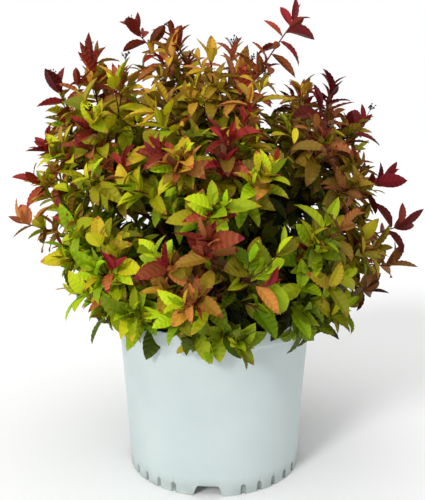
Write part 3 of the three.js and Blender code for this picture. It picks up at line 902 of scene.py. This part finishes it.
def make_pot():
    rows, white_rows = pot_profile()
    sides = POT_MESH.sides
    points = []
    dents = []
    for number, (radius, height) in enumerate(rows):
        low = height <= POT.floor_height and number < white_rows
        for side in range(sides):
            turn = 360 * side / sides
            from_notch = (turn + 180 / NOTCH.count) % (360 / NOTCH.count) - 180 / NOTCH.count
            rise = notch_rise(from_notch) if low else 0.0
            at_height = rise + height * (1 - rise / POT.floor_height)
            dent = flute_depth(turn, at_height) if low and number >= STANDING_EDGE else 0.0
            dents.append(dent)
            points.append(polar(NOTCH.azimuth + turn, radius - dent, at_height))
    faces = []
    places = []
    for row in range(len(rows) - 1):
        for side in range(sides):
            a = row * sides + side
            b = row * sides + (side + 1) % sides
            # Painted shade: faces deep in a flute get the darker grey finish.
            in_flute_shade = min(dents[a], dents[a + sides]) > FLUTE_SHADE_DEPTH
            finish = BLACK if row >= white_rows - 1 else FLUTE_SHADE if in_flute_shade else WHITE
            if rows[row][0] > 0:
                faces.append((a, b, b + sides))
                places.append(finish)
            if rows[row + 1][0] > 0:
                faces.append((a, b + sides, a + sides))
                places.append(finish)
    finishes = [white_plastic(), speckled("black_plastic"), speckled("grimy_plastic")]
    piece = mesh_piece("pot_wall", points, faces, finishes, places)
    close_piece(piece)
    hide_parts("pot")
    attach(piece, "root")


def close_piece(piece):
    """Merges points that lie on each other, as at a turned piece's axis."""
    work = bmesh.new()
    work.from_mesh(piece.data)
    bmesh.ops.remove_doubles(work, verts=work.verts, dist=MERGE)
    bmesh.ops.recalc_face_normals(work, faces=work.faces)
    work.to_mesh(piece.data)
    work.free()


# ---- The potting mix ----

# Layers of relief are how soon they weaken, how much finer each is, and how many they are.
MIX_MESH = Sizes(
    grid=(44, 160), edge_radius=0.13, sunk=0.0015, lumps=0.0016, lump_scale=55,
    lump_layers=(1.0, 2.0, 5), clods=0.0015, clod_scale=24, clod_height=0.3,
)
CHIPS = Sizes(
    count=900, size=((0.005, 0.017), (0.003, 0.008), (0.0012, 0.0035)),
    from_rim=0.006, broken=(0.7, 1.2), tilt=(-28, 28), lift=0.25,
)
BOX_FACES = [
    (0, 1, 3), (0, 3, 2), (4, 6, 7), (4, 7, 5), (0, 4, 5), (0, 5, 1), (2, 3, 7), (2, 7, 6),
    (0, 2, 6), (0, 6, 4), (1, 5, 7), (1, 7, 3),
]


def mix_height(x, y):
    crown = mix(MIX_TOP, MIX_EDGE, smooth(hypot(x, y), MIX.seat_radius, MIX_MESH.edge_radius))
    lumps = noise.fractal(Vector((x, y, 0)) * MIX_MESH.lump_scale, *MIX_MESH.lump_layers)
    clods = noise.noise(Vector((x, y, MIX_MESH.clod_height)) * MIX_MESH.clod_scale)
    return crown - MIX_MESH.sunk + MIX_MESH.lumps * lumps + MIX_MESH.clods * clods


def make_mix():
    share = (MIX_EDGE - POT.waist_height) / (POT.height - POT.rim_band - POT.bevel - POT.waist_height)
    rim = mix(POT.waist_radius, POT.rim_radius - POT.band_step, share) - POT.wall - GAP
    floor = POT.floor_height + POT.wall + GAP
    rings, sides = MIX_MESH.grid
    points = []
    for ring in range(rings + 1):
        for side in range(sides):
            x, y, _ = polar(360 * side / sides, rim * ring / rings, 0)
            points.append((x, y, mix_height(x, y)))
    below = [(POT.waist_radius - POT.wall - GAP, POT.waist_height),
             (POT.foot_radius - POT.wall - GAP, floor), (0.0, floor)]
    for radius, height in below:
        points += [polar(360 * side / sides, radius, height) for side in range(sides)]
    faces = [(a, c, b) for a, b, c in ring_faces(rings + len(below), sides)]
    piece = mesh_piece("mix_surface", points, faces, [speckled("damp_mix")])
    close_piece(piece)
    chips = make_chips(rim)
    for part in (piece, chips):
        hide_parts("potting_mix")
        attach(part, "root")


def make_chips(rim):
    """Flat, broken pieces of bark on the mix."""
    corners = np.array([(x, y, z) for x in (-1, 1) for y in (-1, 1) for z in (-1, 1)]) / 2
    parts = []
    for index in range(CHIPS.count):
        radius = (rim - CHIPS.from_rim) * sqrt((index + 0.5) / CHIPS.count)
        centre = polar(GOLDEN_ANGLE * index, radius, 0)
        size = [between(*CHIPS.size[axis], 31 + axis, index) for axis in range(3)]
        jitter = np.array([[between(*CHIPS.broken, 34, index, corner, axis) for axis in range(3)]
                           for corner in range(8)])
        yaw = 2 * pi * chance(35, index)
        tilt = radians(between(*CHIPS.tilt, 36, index))
        along = np.array([cos(yaw) * cos(tilt), sin(yaw) * cos(tilt), sin(tilt)])
        aside, above = cross_axes(along)
        shape = (corners * jitter * size) @ np.stack([along, aside, above])
        centre[2] = mix_height(centre[0], centre[1]) + CHIPS.lift * size[2]
        parts.append((centre + shape, np.array(BOX_FACES)))
    points, faces = joined_arrays(parts)
    return mesh_piece("bark_chips", points, faces, [speckled("chipped_bark")], soft=False)


# ---- The woody base and the stems ----

BASE = Sizes(
    sides=60, sunk=0.004, foot_swell=1.15, voxel=0.0011, smoothing=3, relief=0.0011,
    relief_from=0.004, relief_scale=260,
)
DOME = [  # shares of the knot's radius and height, from under it to its top
    (0.0, 0.0), (1.0, 0.0), (0.99, 0.1), (0.92, 0.25), (0.80, 0.5), (0.6, 0.8), (0.35, 0.94),
    (0.0, 1.0),
]
STEM_MESH = Sizes(grid=(44, 14), relief=0.00035, relief_scale=520)
RIDGES = Sizes(stretch=0.85, layers=(1.0, 2.0, 4))


def ridged(point, direction, scale):
    """Bark relief that runs along a direction."""
    across = point - RIDGES.stretch * direction * (point @ direction)
    return noise.fractal(Vector(across) * scale, *RIDGES.layers)


def dome_arrays():
    points = []
    for width, rise in DOME:
        for side in range(BASE.sides):
            turn = 2 * pi * side / BASE.sides
            flare = 1 + KNOT.lobe_depth * cos(KNOT.lobes * turn) * (1 - rise)
            radius = KNOT.radius * width * flare
            points.append((radius * cos(turn), radius * sin(turn), KNOT_SEAT + KNOT.height * rise))
    return np.array(points), np.array(ring_faces(len(DOME) - 1, BASE.sides))


def make_base(masses, bark):
    parts = [dome_arrays()]
    stub_radius = KNOT.stub_swell * STEM.foot_radius * BASE.foot_swell
    for mass in masses:
        foot = mass.stub_foot - mass.lean * BASE.sunk
        stub = (foot, (mass.stub_foot + mass.stub_end) / 2, mass.stub_end)
        parts.append(tube_arrays(stub, stub_radius, STEM.foot_radius, *TUBE.stub))
    rough = mesh_piece("rough_base", *joined_arrays(parts), [])
    close_piece(rough)
    fuse = rough.modifiers.new("fuse", "REMESH")
    fuse.mode = "VOXEL"
    fuse.voxel_size = BASE.voxel
    rough.modifiers.new("even", "SMOOTH").iterations = BASE.smoothing
    mesh = bpy.data.meshes.new_from_object(rough.evaluated_get(bpy.context.evaluated_depsgraph_get()))
    bpy.data.objects.remove(rough)
    for vertex in mesh.vertices:
        place = np.array(vertex.co)
        away = unit(place - UP * KNOT_SEAT)
        share = smooth(place[2], KNOT_SEAT, KNOT_SEAT + BASE.relief_from)
        vertex.co += vertex.normal * BASE.relief * share * ridged(place, away, BASE.relief_scale)
        vertex.co.z = max(vertex.co.z, KNOT_SEAT)
    mesh.name = "woody_base"
    mesh.materials.append(bark)
    mesh.shade_smooth()
    piece = put("woody_base", mesh)
    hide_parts("stem_base")
    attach(piece, "root")


def make_stems(masses, bark):
    steps, sides = STEM_MESH.grid
    parts = []
    for mass in masses:
        points, faces = tube_arrays(mass.stem, STEM.foot_radius, STEM.tip_radius, steps, sides)
        for number, point in enumerate(points):
            share = number // sides / steps
            outward = unit(point - point_on(mass.stem, share))
            relief = ridged(point, tangent_on(mass.stem, share), STEM_MESH.relief_scale)
            points[number] = point + outward * STEM_MESH.relief * relief
        parts.append((points, faces))
    piece = mesh_piece("woody_stems", *joined_arrays(parts), [bark])
    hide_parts(*(f"stem_{mass.name}" for mass in masses))
    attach(piece, "root")


# ---- Spent flower heads ----

HEAD = Sizes(
    stem=(0.012, 0.024), stem_radius=0.0008, upturn=0.5, sunk=0.001, stalks=9,
    stalk=(0.005, 0.011), stalk_radius=0.0004, stalk_bow=0.001, lean=(12, 62),
    bead=(0.0010, 0.0016), share=0.35, leader_share=0.5, heights=(0.42, 0.52),
)
BEAD_POINTS = np.kron(np.eye(3), [[1], [-1]])  # one ahead and one behind on each axis
BEAD_FACES = np.array([
    (0, 2, 4), (2, 1, 4), (1, 3, 4), (3, 0, 4), (2, 0, 5), (1, 2, 5), (3, 1, 5), (0, 3, 5),
])


def head_arrays(shoot):
    """A dry stem on a shoot's tip, with a small cluster of stalks and beads."""
    foot = shoot.curve[2]
    direction = unit(tangent_on(shoot.curve, 1) + HEAD.upturn * UP)
    aside, above = cross_axes(direction)
    tip = foot + direction * between(*HEAD.stem, 52, shoot.key)
    stem = (foot - direction * HEAD.sunk, (foot + tip) / 2, tip)
    parts = [tube_arrays(stem, HEAD.stem_radius, HEAD.stalk_radius, *TUBE.dry_stem)]
    for stalk in range(HEAD.stalks):
        key = (41, shoot.key, stalk)
        outward = turned(radians(GOLDEN_ANGLE * stalk), aside, above)
        way = turned(radians(between(*HEAD.lean, *key)), direction, outward)
        end = tip + way * between(*HEAD.stalk, 42, *key)
        curve = (tip - direction * HEAD.sunk, (tip + end) / 2 + direction * HEAD.stalk_bow, end)
        parts.append(tube_arrays(curve, HEAD.stalk_radius, HEAD.stalk_radius, *TUBE.stalk))
        parts.append((end + BEAD_POINTS * between(*HEAD.bead, 43, *key), BEAD_FACES))
    return parts


def make_spent_flowers(masses):
    parts = []
    for mass in masses:
        for shoot in mass.shoots:
            high = smooth(shoot.curve[2][2], *HEAD.heights)
            share = HEAD.leader_share if shoot.leader else HEAD.share
            if chance(40, shoot.key) < share * high:
                parts += head_arrays(shoot)
    dry = plain_material("dry_flower", "#2a1512", roughness=0.7, specular=0.35)
    piece = mesh_piece("spent_flowers", *joined_arrays(parts), [dry])
    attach(piece, "root")


# ---- Stage, light and camera ----

CAMERA = Sizes(place=(-0.0024, -1.020, 0.513), pitch=10.75, lens=51.37, sensor=36, sees_to=50)
STUDIO = Sizes(white_below=0.17, dim_above=0.45, ceiling=0.40, half_floor=12.0)
SUNS = [  # name, azimuth, elevation, strength and softness
    ("key", 235, 28, 1.5, 14), ("top", 250, 75, 1.15, 60),
]


def make_camera():
    data = bpy.data.cameras.new("camera")
    data.sensor_fit = "VERTICAL"
    data.sensor_height = CAMERA.sensor
    data.lens = CAMERA.lens
    data.clip_end = CAMERA.sees_to
    camera = put("camera", data)
    camera.location = CAMERA.place
    camera.rotation_euler = (radians(90 - CAMERA.pitch), 0, 0)
    bpy.context.scene.camera = camera


def make_sun(name, azimuth, elevation, strength, softness):
    data = bpy.data.lights.new(name, "SUN")
    data.energy = strength
    data.angle = radians(softness)
    towards = Vector(heading(azimuth, elevation))
    put(name, data).rotation_euler = towards.to_track_quat("Z", "Y").to_euler()


def make_world():
    """An even studio, white round the horizon and dimmer above."""
    world = bpy.data.worlds.new("studio")
    nodes = Nodes(world, "Generated")
    level = nodes.spread(nodes.height(), 1.0, STUDIO.ceiling, STUDIO.white_below, STUDIO.dim_above)
    fill(world.node_tree, "Background", Color=linear("#ffffff"), Strength=level)
    bpy.context.scene.world = world


def make_stage():
    half = STUDIO.half_floor
    corners = [(-half, -half, 0), (half, -half, 0), (half, half, 0), (-half, half, 0)]
    finish = plain_material("floor", "#ffffff", roughness=0.8, specular=0.0)
    floor = mesh_piece("floor", corners, [(0, 1, 2), (0, 2, 3)], [finish])
    make_world()
    for sun in SUNS:
        make_sun(*sun)
    bpy.context.scene.view_settings.view_transform = "Standard"


masses = plan_masses()
make_camera()
make_stage()
grow_crown(masses)
make_foliage(masses)
make_spent_flowers(masses)
make_pot()
make_mix()
bark = stem_bark()
make_base(masses, bark)
make_stems(masses, bark)
